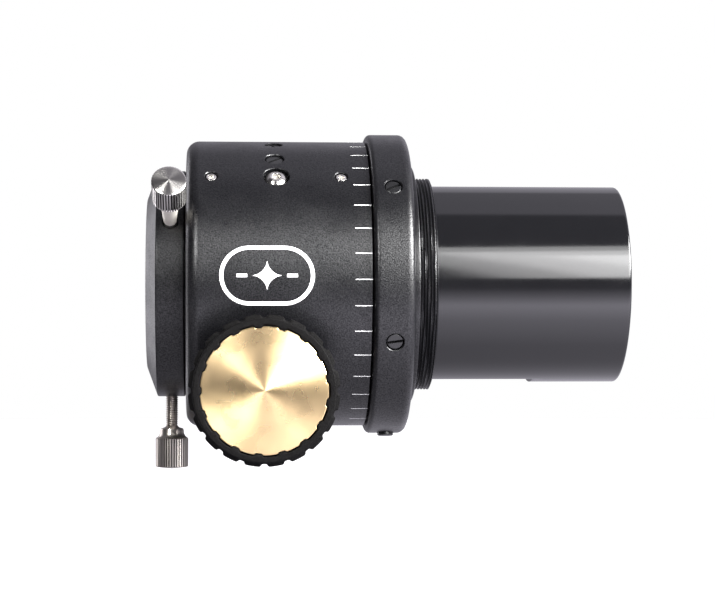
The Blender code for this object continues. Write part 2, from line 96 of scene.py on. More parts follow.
# Drive shaft and knobs
SHAFT_X, SHAFT_Z = -46.0, -32.8
KNOB_BACK, KNOB_FRONT = 48.0, 61.0
CORE_RADIUS, GRIP_LIP, GRIP_RIB = 19.0, 21.15, 22.4
RIB_COUNT, TOOTH_COUNT = 20, 17
FACE_RADIUS, FACE_FRONT = 18.9, 62.0
TENSION_X, LOCK_X = SHAFT_X, -34.5

FINISHES = {      # colour, metallic, roughness, specular, grain size, grain depth, wear
    "black_anodised": ((0.0030, 0.0030, 0.0036), 0.0, 0.31, 0.37, 0.42, 0.060, 0.02),
    "gloss_black": ((0.003, 0.003, 0.0035), 0.0, 0.11, 0.50, 1.20, 0.0004, 0.0),
    "black_screw": ((0.006, 0.006, 0.0065), 0.0, 0.26, 0.50, 0.40, 0.004, 0.10),
    "stainless": ((0.60, 0.585, 0.56), 1.0, 0.24, 0.50, 0.50, 0.002, 0.10),
    "track_steel": ((0.50, 0.50, 0.50), 1.0, 0.30, 0.50, 0.60, 0.003, 0.10),
    "brass": ((0.86, 0.70, 0.44), 1.0, 0.30, 0.50, 0.60, 0.002, 0.10),
    "bronze": ((0.46, 0.30, 0.16), 1.0, 0.42, 0.50, 0.50, 0.006, 0.10),
    "rubber": ((0.0028, 0.0026, 0.0026), 0.0, 0.58, 0.05, 0.40, 0.080, 0.0),
    "white_plastic": ((0.82, 0.82, 0.79), 0.0, 0.45, 0.50, 0.80, 0.004, 0.02),
}


# ---- places ----

def frame_of(origin, along, outwards):
    """Local +X is along, +Z is outwards and the origin is in mm."""
    along, outwards = Vector(along), Vector(outwards)
    turn = Matrix((along, outwards.cross(along), outwards)).transposed().to_4x4()
    return Matrix.Translation(Vector(origin) * MM) @ turn


def along_x(x=0.0):
    return frame_of((x, 0, 0), (0, -1, 0), (1, 0, 0))


def direction_at(angle):
    turned = math.radians(angle)
    return Vector((0, -math.cos(turned), math.sin(turned)))


def outward(x, angle, turn=0):
    """+Z runs outwards from the optical axis at this angle, and +X along it, turned about +Z."""
    place = frame_of((x, 0, 0), (1, 0, 0), direction_at(angle))
    return place @ Matrix.Rotation(math.radians(turn), 4, "Z")


def on_shaft(towards=1):
    """+Z runs along the drive shaft, towards the near knob for 1 and the far knob for -1."""
    return frame_of((SHAFT_X, 0, SHAFT_Z), (1, 0, 0), (0, -towards, 0))


# ---- outlines and meshes ----

def rounded(corners, closed=True, longest=6.0, steps=5):
    """Points of an outline whose (radius, height, fillet) corners are arcs. Long runs are divided."""
    points = []
    count = len(corners)
    for index, (radius, height, fillet) in enumerate(corners):
        corner = Vector((radius, height))
        if not fillet:
            points.append(corner)
            continue
        before = (Vector(corners[index - 1][:2]) - corner).normalized()
        after = (Vector(corners[(index + 1) % count][:2]) - corner).normalized()
        half = before.angle(after) / 2
        centre = corner + (before + after).normalized() * fillet / math.sin(half)
        start = corner + before * fillet / math.tan(half) - centre
        end = corner + after * fillet / math.tan(half) - centre
        for step in range(steps + 1):
            points.append(centre + start.lerp(end, step / steps).normalized() * fillet)
    divided = []
    following = points[1:] + points[:1] if closed else points[1:]
    for first, second in zip(points, following):
        divided.append(first)
        run = (second - first).length
        if run <= 1.5:
            continue
        margin = 0.4 / run
        parts = max(1, math.ceil(run / longest))
        shares = [margin + (1 - 2 * margin) * part / parts for part in range(parts + 1)]
        divided.extend(first.lerp(second, share) for share in shares)
    if not closed:
        divided.append(points[-1])
    return [(point.x, point.y) for point in divided]


def new_object(name, vertices, faces, matrix):
    mesh = bpy.data.meshes.new(name)
    mesh.from_pydata([Vector(vertex) * MM for vertex in vertices], [], faces)
    obj = bpy.data.objects.new(name, mesh)
    obj.matrix_world = matrix
    bpy.context.scene.collection.objects.link(obj)
    return obj


def turned(name, outline, matrix, segments=ROUND, closed=True, shape=None):
    """Turns (radius, height) points about +Z. They run down the outer side, and an outline that
    isn't closed starts and ends on the axis. shape(angle, radius, height) may change a radius."""
    vertices, rings = [], []
    for radius, height in outline:
        if radius == 0:
            rings.append([len(vertices)] * segments)
            vertices.append((0, 0, height))
            continue
        rings.append(range(len(vertices), len(vertices) + segments))
        for index in range(segments):
            angle = math.tau * index / segments
            reach = shape(angle, radius, height) if shape else radius
            vertices.append((reach * math.cos(angle), reach * math.sin(angle), height))
    pairs = list(zip(rings, rings[1:]))
    if closed:
        pairs.append((rings[-1], rings[0]))
    faces = []
    for first, second in pairs:
        for index in range(segments):
            following = (index + 1) % segments
            ring = (first[index], second[index], second[following], first[following])
            face = list(dict.fromkeys(ring))
            if len(face) > 2:
                faces.append(face)
    return new_object(name, vertices, faces, matrix)


def block(low, high, matrix):
    """A box used as a cutter."""
    corners = [(x, y, z) for x in (low[0], high[0]) for y in (low[1], high[1]) for z in (low[2], high[2])]
    sides = [(0, 1, 3, 2), (4, 6, 7, 5), (0, 4, 5, 1), (2, 3, 7, 6), (0, 2, 6, 4), (1, 5, 7, 3)]
    return new_object("cutter", corners, sides, matrix)


def bore(radius, bottom, mouth, matrix, counterbore=None, segments=SMALL, chamfer=0.3):
    """A cutter for a hole whose mouth, at that height, has a small chamfer. counterbore is the
    (radius, floor) of a wider upper part."""
    wide, floor = counterbore or (radius, bottom)
    outline = [(0, mouth + 3), (wide + 3, mouth + 3), (wide, mouth - chamfer)]
    if counterbore:
        outline += [(wide, floor), (radius, floor)]
    outline += [(radius, bottom), (0, bottom)]
    return turned("cutter", outline, matrix, segments, closed=False)


def carve(obj, cutters):
    """Cuts these shapes from obj and removes them."""
    for cutter in cutters:
        cut = obj.modifiers.new("cut", "BOOLEAN")
        cut.operation = "DIFFERENCE"
        cut.solver = "EXACT"
        cut.object = cutter
    bpy.context.view_layer.update()
    graph = bpy.context.evaluated_depsgraph_get()
    carved = bpy.data.meshes.new_from_object(obj.evaluated_get(graph))
    obj.modifiers.clear()
    obj.data = carved
    for cutter in cutters:
        bpy.data.objects.remove(cutter)


def install(obj, slot, *nodes, body=None, finish=None, crease=32):
    """Gives a piece its finish, its body and the CAD nodes that it stands for."""
    obj.data.materials.clear()
    obj.data.materials.append(finish or finishes[slot])
    obj.data.shade_smooth()
    obj.data.set_sharp_from_angle(angle=math.radians(crease))
    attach(obj, body or frame["nodes"][nodes[0]]["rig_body"])
    if nodes:
        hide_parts(*nodes)
    return obj


def teeth(angle, count, share):
    """1 on a tooth and 0 between teeth, with steep sides. share is how much of the turn they fill."""
    phase = abs((angle * count / math.tau) % 1 - 0.5) * 2
    return min(1.0, max(0.0, (share - phase) / 0.16 + 0.5))


def ridge(share):
    """A triangle wave from 0 to 1."""
    return 1 - abs(2 * (share % 1) - 1)


def hexagon(angle, radius):
    sixth = math.tau / 6
    return radius * math.cos(sixth / 2) / math.cos(angle % sixth - sixth / 2)


# ---- materials ----

class Graph:
    """Builds a shader tree."""

    def __init__(self, owner):
        owner.use_nodes = True
        self.tree = owner.node_tree
        self.tree.nodes.clear()

    def add(self, kind, inputs=None, **settings):
        node = self.tree.nodes.new("ShaderNode" + kind)
        for name, value in settings.items():
            setattr(node, name, value)
        for name, value in (inputs or {}).items():
            if isinstance(value, bpy.types.NodeSocket):
                self.tree.links.new(value, node.inputs[name])
            else:
                node.inputs[name].default_value = value
        return node

    def math(self, operation, *values):
        return self.add("Math", dict(enumerate(values)), operation=operation).outputs[0]

    def remap(self, value, low, high, to_low, to_high):
        inputs = {0: value, 1: low, 2: high, 3: to_low, 4: to_high}
        return self.add("MapRange", inputs).outputs[0]

    def noise(self, place, size, detail=3.0):
        """Noise whose features are about this many mm across."""
        inputs = {"Vector": place, "Scale": 1 / (size * MM), "Detail": detail}
        return self.add("TexNoise", inputs).outputs["Fac"]


def make_finish(name, colour, metallic, roughness, specular, grain, depth, wear, lathe=0.0):
    """A finish with a grain, slightly uneven roughness and colour, lighter edges and, on a metal, painted
    shade that darkens its grooves and hollows. lathe is how strongly it is brushed round the piece's own Z,
    with fine rings across its faces."""
    material = bpy.data.materials.new(name)
    material.diffuse_color = (*colour, 1)
    graph = Graph(material)
    place = graph.add("TexCoord").outputs["Object"]
    broad = graph.noise(place, 9.0)
    fine = graph.noise(place, grain, 2.0)
    height = fine
    uneven = graph.remap(broad, 0.3, 0.7, 0.86 * roughness, 1.14 * roughness)
    lighter = [min(1.0, channel * 1.18) for channel in colour]
    tone = graph.add("Mix", {0: broad, 6: (*colour, 1), 7: (*lighter, 1)}, data_type="RGBA").outputs[2]
    curved = graph.add("NewGeometry").outputs["Pointiness"]
    edges = graph.remap(curved, 0.54, 0.62, 0.0, wear)
    worn = [min(1.0, channel * 1.2 + 0.12) for channel in colour]
    tone = graph.add("Mix", {0: edges, 6: tone, 7: (*worn, 1)}, data_type="RGBA").outputs[2]
    if metallic:
        # Painted shade: on a metal, grooves and hollows (low pointiness) are darkened towards a near-black
        # copy of the colour.
        hollow_shade = graph.remap(curved, 0.38, 0.47, 0.8, 0.0)
        dark = [channel * 0.08 for channel in colour]
        tone = graph.add("Mix", {0: hollow_shade, 6: tone, 7: (*dark, 1)}, data_type="RGBA").outputs[2]
    inputs = {"Base Color": tone, "Metallic": metallic, "Roughness": uneven}
    swing = min(0.55, 12 * depth)
    low, high = specular * (1 - swing), specular * (1 + swing)
    inputs["Specular IOR Level"] = graph.remap(fine, 0.3, 0.7, low, high)
    if lathe:
        parts = graph.add("SeparateXYZ", {0: place}).outputs
        squares = graph.math("ADD", graph.math("POWER", parts[0], 2.0), graph.math("POWER", parts[1], 2.0))
        radius = graph.math("SQRT", squares)
        spread = graph.add("CombineXYZ", {0: radius, 1: parts[2]}).outputs[0]
        rings = graph.noise(spread, 0.32, 2.0)
        height = rings
        inputs["Anisotropic"] = lathe
        inputs["Anisotropic Rotation"] = 0.25
        inputs["Tangent"] = graph.add("Tangent", direction_type="RADIAL", axis="Z").outputs[0]
    inputs["Normal"] = graph.add("Bump", {"Height": height, "Distance": depth * MM}).outputs[0]
    shader = graph.add("BsdfPrincipled", inputs)
    graph.add("OutputMaterial", {"Surface": shader.outputs[0]})
    return material


finishes = {name: make_finish(name, *values) for name, values in FINISHES.items()}
turned_steel = make_finish("turned_steel", (0.66, 0.64, 0.61), 1.0, 0.22, 0.5, 0.5, 0.0025, 0.08, lathe=0.85)
turned_brass = make_finish("turned_brass", (0.83, 0.62, 0.33), 1.0, 0.28, 0.5, 0.6, 0.0022, 0.0, lathe=0.83)
# A satin steel made lighter and partly diffuse for the plain neck and the track screw; the extra lightness
# is painted light for parts that sit in shade.
satin_steel_painted_light = make_finish("satin_steel_painted_light", (0.68, 0.645, 0.58), 0.6, 0.50, 0.5, 0.4, 0.003, 0.05)
# Darker materials for the faces deep in the knurls' grooves: painted shade.
groove_shade_dark = make_finish("groove_shade_dark", (0.03, 0.029, 0.027), 0.8, 0.45, 0.4, 0.5, 0.004, 0.0)
groove_shade_grey = make_finish("groove_shade_grey", (0.17, 0.16, 0.145), 1.0, 0.42, 0.5, 0.5, 0.004, 0.0)
# A darker, warmer copy of the thumbscrew steel for the second and third thumbscrews: the darkness is painted
# shade.
warm_steel_painted_shade = make_finish("warm_steel_painted_shade", (0.36, 0.335, 0.30), 1.0, 0.34, 0.5, 0.5, 0.004, 0.25, lathe=0.3)
clamp_black = make_finish("clamp_black", (0.003, 0.003, 0.0036), 0.0, 0.36, 0.27, 0.42, 0.045, 0.02)
matte_black = make_finish("matte_black", (0.008, 0.008, 0.008), 0.0, 0.70, 0.3, 0.5, 0.010, 0.02)
print_grey = make_finish("print_grey", (0.58, 0.58, 0.57), 0.0, 0.50, 0.3, 0.25, 0.004, 0.0)
print_white = make_finish("print_white", (0.80, 0.80, 0.79), 0.0, 0.50, 0.5, 0.25, 0.004, 0.0)

for node in frame["nodes"].values():
    for place in node.material_slots:
        place.material = finishes[place.material.name]


# ---- collar ----

def slotted_screw(name, radius, top, bottom, place, slot_width, slot_depth):
    """A slotted cheese-head screw with a rounded rim."""
    screw = turned(name, rounded([
        (0, top, 0),
        (radius, top, 0.35),
        (radius, bottom, 0.2),
        (0, bottom, 0),
    ], closed=False, longest=1.2), place, SMALL, closed=False)
    half = slot_width / 2
    carve(screw, [block((-radius - 1, -half, top - slot_depth), (radius + 1, half, top + 1), place)])
    return screw


def make_collar():
    collar = turned("visual_collar", rounded([
        (COLLAR_RADIUS, 0, 2.3),
        (COLLAR_RADIUS, -COLLAR_LENGTH, 1.5),
        (NECK_RADIUS + 0.3, -COLLAR_LENGTH, 0.3),
        (NECK_RADIUS + 0.3, -COLLAR_LIP, 0),
        (35.3, -COLLAR_LIP, 0),
        (35.3, 0, 0.3),
    ], longest=2.0), along_x(), FINE)
    holes = []
    for number, (angle, turn) in enumerate(COLLAR_SCREW_TURNS.items(), start=1):
        top = COLLAR_RADIUS + 1.0 if angle == COLLAR_SCREW_PROUD else COLLAR_RADIUS - 0.5
        place = outward(COLLAR_SCREW_X, angle, turn)
        holes.append(bore(2.75, 36, COLLAR_RADIUS - 0.1, place, chamfer=0.15))
        name = f"collar_screw_{number}"
        screw = slotted_screw(f"visual_{name}", 2.5, top, 40.9, place, 0.9, 1.2)
        install(screw, "black_screw", name)
    carve(collar, holes)
    install(collar, "black_anodised", "collar_ring")


def make_adapter():
    ridges = 40
    start, end = 7.7, 2.9
    thread = [(THREAD_RADIUS, start + (end - start) * step / ridges) for step in range(ridges + 1)]
    outline = [(32.5, 8.2), (32.9, 8.15), (33.4, 7.85), *thread, (33.3, 2.7), (33.3, 2.6)]
    outline += rounded([(37.9, 2.6, 0.4), (37.9, 0.3, 0.3), (35.0, 0.3, 0)])[:-4]
    outline += [(35.0, 0.3), (35.0, -COLLAR_LIP), (32.2, -COLLAR_LIP), (32.2, 7.8)]

    def helix(angle, radius, height):
        if radius != THREAD_RADIUS:
            return radius
        fade = min(1.0, (start - height) / 0.6 + 0.15)
        return radius - THREAD_DEPTH * ridge(height / THREAD_PITCH + angle / math.tau) * fade

    adapter = turned("visual_adapter", outline, along_x(), FINE, shape=helix)
    install(adapter, "black_anodised", "thread_adapter")


# ---- housing ----

def make_housing():
    groove = 1.6
    housing = turned("visual_housing", rounded([
        (NECK_RADIUS, HOUSING_BACK, 0.3),
        (NECK_RADIUS, COLLAR_SCREW_X + groove, 0),
        (NECK_RADIUS - groove, COLLAR_SCREW_X, 0),
        (NECK_RADIUS, COLLAR_SCREW_X - groove, 0),
        (NECK_RADIUS, NECK_START, 0),
        (HOUSING_RADIUS, NECK_START, 0.35),
        (HOUSING_RADIUS, HOUSING_FRONT, 4.0),
        (HOUSING_BORE, HOUSING_FRONT, 0.4),
        (HOUSING_BORE, HOUSING_BACK, 0.3),
    ], longest=2.0, steps=8), along_x(), FINE)
    cutters = [
        bore(6.3, -50, HOUSING_RADIUS + 6, on_shaft()),
        block((-6, -9, -41), (6, 9, -28), frame_of((SHAFT_X, 0, 0), (1, 0, 0), (0, 0, 1))),
        bore(2.3, 28, HOUSING_RADIUS, outward(TENSION_X, -90)),
        bore(2.3, 28, HOUSING_RADIUS, outward(LOCK_X, -90)),
    ]
    for angle in ROW_ANGLES.values():
        low = (CARRIER_SPAN[0], -CARRIER_HALF_WIDTH, 28)
        cutters.append(block(low, (CARRIER_SPAN[1], CARRIER_HALF_WIDTH, CARRIER_TOP), outward(0, angle)))
        cutters += [bore(1.95, 38, HOUSING_RADIUS, outward(x, angle)) for x in ROLLER_X]
        place = outward(CARRIER_SCREW_X, angle)
        cutters.append(bore(1.8, 38, HOUSING_RADIUS, place, counterbore=(4.0, 43.0)))
    for number, (angle, radius, turn) in enumerate(HOUSING_SCREWS, start=1):
        place = outward(CARRIER_SCREW_X - 0.4, angle, turn)
        cutters.append(bore(radius + 0.25, 40.6, HOUSING_RADIUS, place))
        name = f"housing_screw_{number}"
        install(slotted_screw(f"visual_{name}", radius, 44.9, 40.9, place, 0.8, 1.1), "black_screw", name)
    carve(housing, cutters)
    install(housing, "black_anodised", "focuser_housing")


def make_set_screw(name, place):
    """A small set screw with a hexagon socket."""
    top, socket = HOUSING_RADIUS - 0.4, 0.95

    def shape(angle, radius, height):
        return hexagon(angle, radius) if radius <= socket else radius

    outline = [(0, top - 1.2), (socket, top - 1.2), (socket, top - 0.05), (1.1, top), (1.42, top)]
    outline += [(1.58, top - 0.08), (1.65, top - 0.25), (1.65, 42.3), (0, 42.3)]
    screw = turned(f"visual_{name}", outline, place, SMALL, closed=False, shape=shape)
    install(screw, "stainless", name, finish=turned_steel)


def make_button_screw(name, place):
    """A button-head screw with a hexagon socket."""
    seat, socket = 43.3, 1.35

    def shape(angle, radius, height):
        return hexagon(angle, radius) if radius <= socket and height > seat else radius

    outline = [(0, seat + 0.7), (socket, seat + 0.7), (socket, seat + 1.95), (socket + 0.15, seat + 2.08)]
    for step in range(1, 9):
        turn = math.radians(90 * step / 8)
        outline.append((1.5 + 1.95 * math.sin(turn), seat + 0.35 + 1.75 * math.cos(turn)))
    outline += [(3.45, seat), (1.5, seat), (1.5, 36.8), (0, 36.8)]
    screw = turned(f"visual_{name}", outline, place, SMALL, closed=False, shape=shape)
    install(screw, "stainless", name, finish=turned_steel)


def on_housing(along, around, centre_x, centre_angle, lift=PRINT_HEIGHT):
    """A point on the housing's skin, this far along it and around it from a centre."""
    radius = HOUSING_RADIUS + lift
    across = direction_at(centre_angle + math.degrees(around / HOUSING_RADIUS)) * radius
    return (centre_x + along, across.y, across.z)


def make_scale():
    """Printed lines every ten degrees, next to the collar."""
    vertices, faces = [], []
    columns = 3
    for tick in range(TICK_COUNT):
        first = len(vertices)
        for column in range(columns):
            around = TICK_WIDTH * (column / (columns - 1) - 0.5)
            for along in TICK_SPAN:
                vertices.append(on_housing(along, around, 0, TICK_START + 360 * tick / TICK_COUNT))
        for column in range(columns - 1):
            corner = first + 2 * column
            faces.append((corner, corner + 1, corner + 3, corner + 2))
    scale = new_object("degree_scale", vertices, faces, Matrix())
    install(scale, "white_plastic", body="housing", finish=print_grey)


def pill(share, inset):
    """A point on a pill-shaped outline, inset by that much."""
    half_height = MARK_HEIGHT / 2
    straight = MARK_LENGTH / 2 - half_height
    radius = half_height - inset
    angle = math.tau * share
    side = straight if math.cos(angle) > 0 else -straight
    return (side + radius * math.cos(angle), radius * math.sin(angle))


def star(share, size):
    """A point on a four-pointed star."""
    angle, power = math.tau * share, 0.62
    reach = size / (abs(math.cos(angle)) ** power + abs(math.sin(angle)) ** power) ** (1 / power)
    return (reach * math.cos(angle), reach * math.sin(angle))


def make_mark():
    """A plain printed ornament: a pill-shaped line round a star and two short dashes."""
    vertices, faces = [], []

    def add_band(loops, closed=True):
        count = len(loops[0])
        first = len(vertices)
        for loop in loops:
            vertices.extend(on_housing(along, around, MARK_X, MARK_ANGLE) for along, around in loop)
        for row in range(len(loops) - 1):
            for index in range(count if closed else count - 1):
                a = first + row * count + index
                b = first + row * count + (index + 1) % count
                faces.append((a, b, b + count, a + count))

    around_pill, around_star, star_size = 160, 96, 4.4
    add_band([
        [pill((index + 0.5) / around_pill, inset) for index in range(around_pill)]
        for inset in (0, MARK_LINE)
    ])
    sizes = [star_size * step / 5 for step in range(5, 0, -1)] + [0.02]
    add_band([[star(index / around_star, size) for index in range(around_star)] for size in sizes])
    for side in (-1, 1):
        line = [side * (6.0 + 0.4 * step) for step in range(9)]
        add_band([[(along, around) for along in line] for around in (-0.5, 0.5)], closed=False)
    mark = new_object("printed_mark", vertices, faces, Matrix())
    install(mark, "white_plastic", body="housing", finish=print_white)


# ---- drawtube and clamp ----

def make_drawtube():
    tube = turned("visual_drawtube", rounded([
        (TUBE_RADIUS, TUBE_BACK, 0.7),
        (TUBE_RADIUS, TUBE_FRONT, 0.2),
        (TUBE_BORE, TUBE_FRONT, 0),
        (TUBE_BORE, TUBE_BACK, 0.5),
    ], longest=8.0), along_x(), FINE)
    start = TUBE_FRONT - 5
    upright = Matrix()
    carve(tube, [
        block((start, -12, -40), (TRACK_END, 12, TRACK_FLAT), upright),
        block((start, -TRACK_SLOT_HALF, -40), (TRACK_END, TRACK_SLOT_HALF, TRACK_FLAT + 1.1), upright),
    ])
    install(tube, "gloss_black", "drawtube")
    grooves = [(TUBE_BORE - 0.45 * (step % 2), 67.2 - 0.6 * step) for step in range(212)]
    outline = [(TUBE_BORE + 0.5, 67.4), (TUBE_BORE + 0.5, -60.2), *reversed(grooves)]
    baffles = turned("tube_baffles", outline, along_x(), ROUND)
    install(baffles, "black_anodised", body="drawtube_unit", finish=matte_black, crease=20)


def make_track_screw():
    top, place = 30.6, outward(TRACK_END - 2.4, -90)
    outline = rounded([(0, top, 0), (1.0, top, 0.15), (1.0, 28.6, 0), (0, 28.6, 0)], closed=False)
    screw = turned("visual_track_screw", outline, place, 32, closed=False)
    carve(screw, [block((-2, -0.15, top - 0.4), (2, 0.15, top + 1), place)])
    # The track screw's lighter steel is painted light.
    install(screw, "stainless", "track_screw", finish=satin_steel_painted_light)


def make_clamp():
    clamp = turned("visual_clamp", rounded([
        (27.9, -60.9, 0.3),
        (27.9, CLAMP_BACK, 0),
        (CLAMP_RADIUS, CLAMP_BACK, 0.35),
        (CLAMP_RADIUS, CLAMP_EDGE, 0.5),
        (27.0, CLAMP_FRONT, 0.4),
        (EYEPIECE_BORE, CLAMP_FRONT, 0.4),
        (EYEPIECE_BORE, CLAMP_SCREW_X - 4, 0),
        (RING_GROOVE, CLAMP_SCREW_X - 4, 0),
        (RING_GROOVE, CLAMP_SCREW_X + 4, 0),
        (EYEPIECE_BORE, CLAMP_SCREW_X + 4, 0),
        (EYEPIECE_BORE, -60.9, 0.3),
    ], longest=1.5), along_x(), FINE)
    places = [outward(CLAMP_SCREW_X, angle) for angle in CLAMP_SCREW_ANGLES]
    carve(clamp, [bore(2.3, 26.4, CLAMP_RADIUS, place) for place in places])
    install(clamp, "black_anodised", "clamp_body", finish=clamp_black)


def make_thumbscrew(number, angle):
    """A long thumbscrew with a knurled head whose grooves get a darker material as painted shade. The first
    has a plain tapered neck and the others have a threaded one."""
    place = outward(CLAMP_SCREW_X, angle)
    plain = number == 1
    head, knurls, knurl_depth, knurl_rings = 5.25, 40, 0.6, 10
    knurl_top, knurl_bottom = 58.3, 49.5
    shank, shank_top, end = 2.0, 45.4, 31.5
    pitch, thread_depth = 0.7, 0.38

    def shape(turn, radius, height):
        if radius > head - 0.3 and knurl_bottom - 0.1 <= height <= knurl_top + 0.1:
            return radius - knurl_depth * (1 - teeth(turn, knurls, 0.62))
        if not plain and radius == shank:
            return radius - thread_depth * ridge(height / pitch - turn / math.tau)
        return radius

    outline = [(0, 59.17), (0.3, 59.13), (1.5, 58.99), (3.0, 58.8), (4.6, 58.6), (4.9, 58.55), (5.1, 58.45)]
    drop = (knurl_top - knurl_bottom) / knurl_rings
    outline += [(head, knurl_top - step * drop) for step in range(knurl_rings + 1)]
    outline += [(5.0, 49.2), (4.6, 48.95)]
    if plain:
        outline += [(2.2, 48.9), (2.0, 48.3), (1.9, 47.0), (1.9, 36.5), (1.9, end)]
        neck = turned("clamp_thumbscrew_neck", rounded([
            (2.85, 48.95, 0),
            (2.8, 47.0, 0),
            (2.0, 37.0, 0),
            (1.7, 37.0, 0),
            (1.7, 48.95, 0),
        ], longest=2.0), place, SMALL)
        # The neck's lighter steel is painted light.
        install(neck, "stainless", body="clamp_screw_1_unit", finish=satin_steel_painted_light)
    else:
        outline += [(4.3, 48.7), (3.8, 47.7), (3.8, 46.9), (3.6, 46.3), (2.4, 45.9), (2.0001, 45.6)]
        steps = round((shank_top - end) / (pitch / 6))
        drop = (shank_top - end) / steps
        outline += [(shank, shank_top - drop * step) for step in range(steps + 1)]
    outline += [(1.4, end), (0, end)]
    name, segments = f"visual_clamp_thumbscrew_{number}", 12 * knurls
    screw = turned(name, outline, place, segments, closed=False, shape=shape)
    # The second and third thumbscrews take the darker steel copy, which is painted shade.
    finish, groove_shade_finish = (turned_steel, groove_shade_dark) if plain else (warm_steel_painted_shade, groove_shade_grey)
    install(screw, "stainless", f"clamp_thumbscrew_{number}", finish=finish, crease=28)
    screw.data.materials.append(groove_shade_finish)
    # Faces at the bottom of the knurl grooves take the darker material: painted shade.
    for face in screw.data.polygons:
        middle = face.center / MM
        if middle.xy.length < head - 0.2 and knurl_bottom < middle.z < knurl_top:
            face.material_index = 1


# ---- knobs ----

def make_grip(side, towards):
    """A rubber ring with ribs outside and small teeth inside its front lip."""
    inner = CORE_RADIUS + 0.3

    def shape(angle, radius, height):
        if radius > GRIP_LIP + 0.1:
            rib = teeth(angle, RIB_COUNT, 0.72)
            return GRIP_LIP + 0.1 + (radius - GRIP_LIP - 0.1) * (0.25 + 0.75 * rib)
        if radius < inner + 0.2 and height > FACE_FRONT - 3.5:
            return radius - 0.75 * teeth(angle, TOOTH_COUNT, 0.32)
        return radius

    outline = rounded([
        (GRIP_LIP, KNOB_FRONT, 0.5),
        (GRIP_LIP, KNOB_FRONT - 2.2, 0),
        (GRIP_RIB, KNOB_FRONT - 2.5, 0.3),
        (GRIP_RIB, KNOB_BACK, 0.7),
        (inner, KNOB_BACK, 0.2),
        (inner, KNOB_FRONT - 2.3, 0),
        (inner, KNOB_FRONT, 0.25),
    ], longest=3.0)
    segments = 18 * RIB_COUNT
    grip = turned(f"visual_knob_grip_{side}", outline, on_shaft(towards), segments, shape=shape)
    install(grip, "rubber", f"knob_grip_{side}")
    core = turned(f"visual_knob_core_{side}", rounded([
        (CORE_RADIUS, KNOB_BACK + 10, 0.2),
        (CORE_RADIUS, KNOB_BACK, 0.5),
        (7.0, KNOB_BACK, 0.4),
        (7.0, 37.9, 0.3),
        (2.3, 37.9, 0),
        (2.3, KNOB_BACK + 10, 0),
    ]), on_shaft(towards), ROUND)
    install(core, "black_anodised", f"knob_core_{side}")


def make_brass_face():
    """A shallow turned cone whose edge is notched for the grip's teeth."""

    def shape(angle, radius, height):
        if radius < FACE_RADIUS - 0.7:
            return radius
        return radius - 0.5 * teeth(angle, TOOTH_COUNT, 0.32)

    slope, segments = 0.06, 24 * TOOTH_COUNT
    rings = (0, 0.5, 1.5, 3, 6, 9, 12, 15, 17, 18, 18.19, 18.6)
    outline = [(radius, FACE_FRONT - slope * radius) for radius in rings]
    outline += [(18.8, 60.75), (FACE_RADIUS, 60.4), (FACE_RADIUS, 58.3), (0, 58.3)]
    face = turned("visual_knob_face", outline, on_shaft(), segments, closed=False, shape=shape)
    install(face, "brass", "knob_face_near", finish=turned_brass, crease=15)


def make_fine_drive():
    place = on_shaft(-1)
    reducer = turned("visual_reducer", rounded([
        (14.0, 62.4, 0.5),
        (14.0, 58.3, 0.4),
        (2.3, 58.3, 0),
        (2.3, 62.4, 0.2),
    ]), place, ROUND)
    install(reducer, "black_anodised", "reducer_body")
    knob = turned("visual_fine_knob", rounded([
        (0, 73.0, 0),
        (8.2, 72.7, 0.5),
        (8.8, 71.9, 0.2),
        (8.8, 63.2, 0.2),
        (8.2, 62.7, 0.2),
        (0, 62.7, 0),
    ], closed=False), place, ROUND, closed=False)
    install(knob, "brass", "fine_knob", finish=turned_brass)
    ribs = 28

    def shape(angle, radius, height):
        return radius - 0.45 * ridge(angle * ribs / math.tau) if radius > 10.3 else radius

    grip = turned("visual_fine_grip", rounded([
        (11.0, 71.5, 0.5),
        (11.0, 63.7, 0.5),
        (9.1, 63.7, 0.2),
        (9.1, 71.5, 0.2),
    ], longest=2.0), place, 8 * ribs, shape=shape)
    install(grip, "rubber", "fine_knob_grip")


def make_bottom_screw(name, x, end):
    """A short thumbscrew with a knurled head, under the housing."""
    knurls = 32

    def shape(angle, radius, height):
        return radius - 0.3 * ridge(angle * knurls / math.tau) if radius > 4.3 else radius

    outline = [(0, 52.6), (3.2, 52.85), (4.1, 52.9), (4.5, 52.4)]
    outline += [(4.5, 52.4 - 4.6 * step / 6) for step in range(1, 7)]
    outline += [(4.1, 47.4), (2.6, 46.9), (1.95, 46.8), (1.95, end), (0, end)]
    screw = turned(f"visual_{name}_screw", outline, outward(x, -90), 6 * knurls, closed=False, shape=shape)
    install(screw, "black_screw", f"{name}_screw")


make_collar()
make_adapter()
make_housing()
for side, angle in ROW_ANGLES.items():
    for number, x in enumerate(ROLLER_X, start=1):
        make_set_screw(f"carrier_set_screw_{side}_{number}", outward(x, angle, 20 * number))
    make_button_screw(f"carrier_screw_{side}", outward(CARRIER_SCREW_X, angle, 12))
make_scale()
make_mark()
make_drawtube()
make_track_screw()
make_clamp()
for number, angle in enumerate(CLAMP_SCREW_ANGLES, start=1):
    make_thumbscrew(number, angle)
make_grip("near", 1)
make_grip("far", -1)
make_brass_face()
make_fine_drive()
make_bottom_screw("tension", TENSION_X, 42.8)
make_bottom_screw("lock", LOCK_X, 33.8)


# ---- camera, floor and light, in metres ----

CAMERA_PLACE = (-0.0599, -0.6697, -0.0174)
CAMERA_YAW, CAMERA_PITCH = 3.86, 1.06       # degrees towards +X and up
CAMERA_LENS = 104.9
FLOOR_Z, FLOOR_RADIUS = -0.16, 3.0

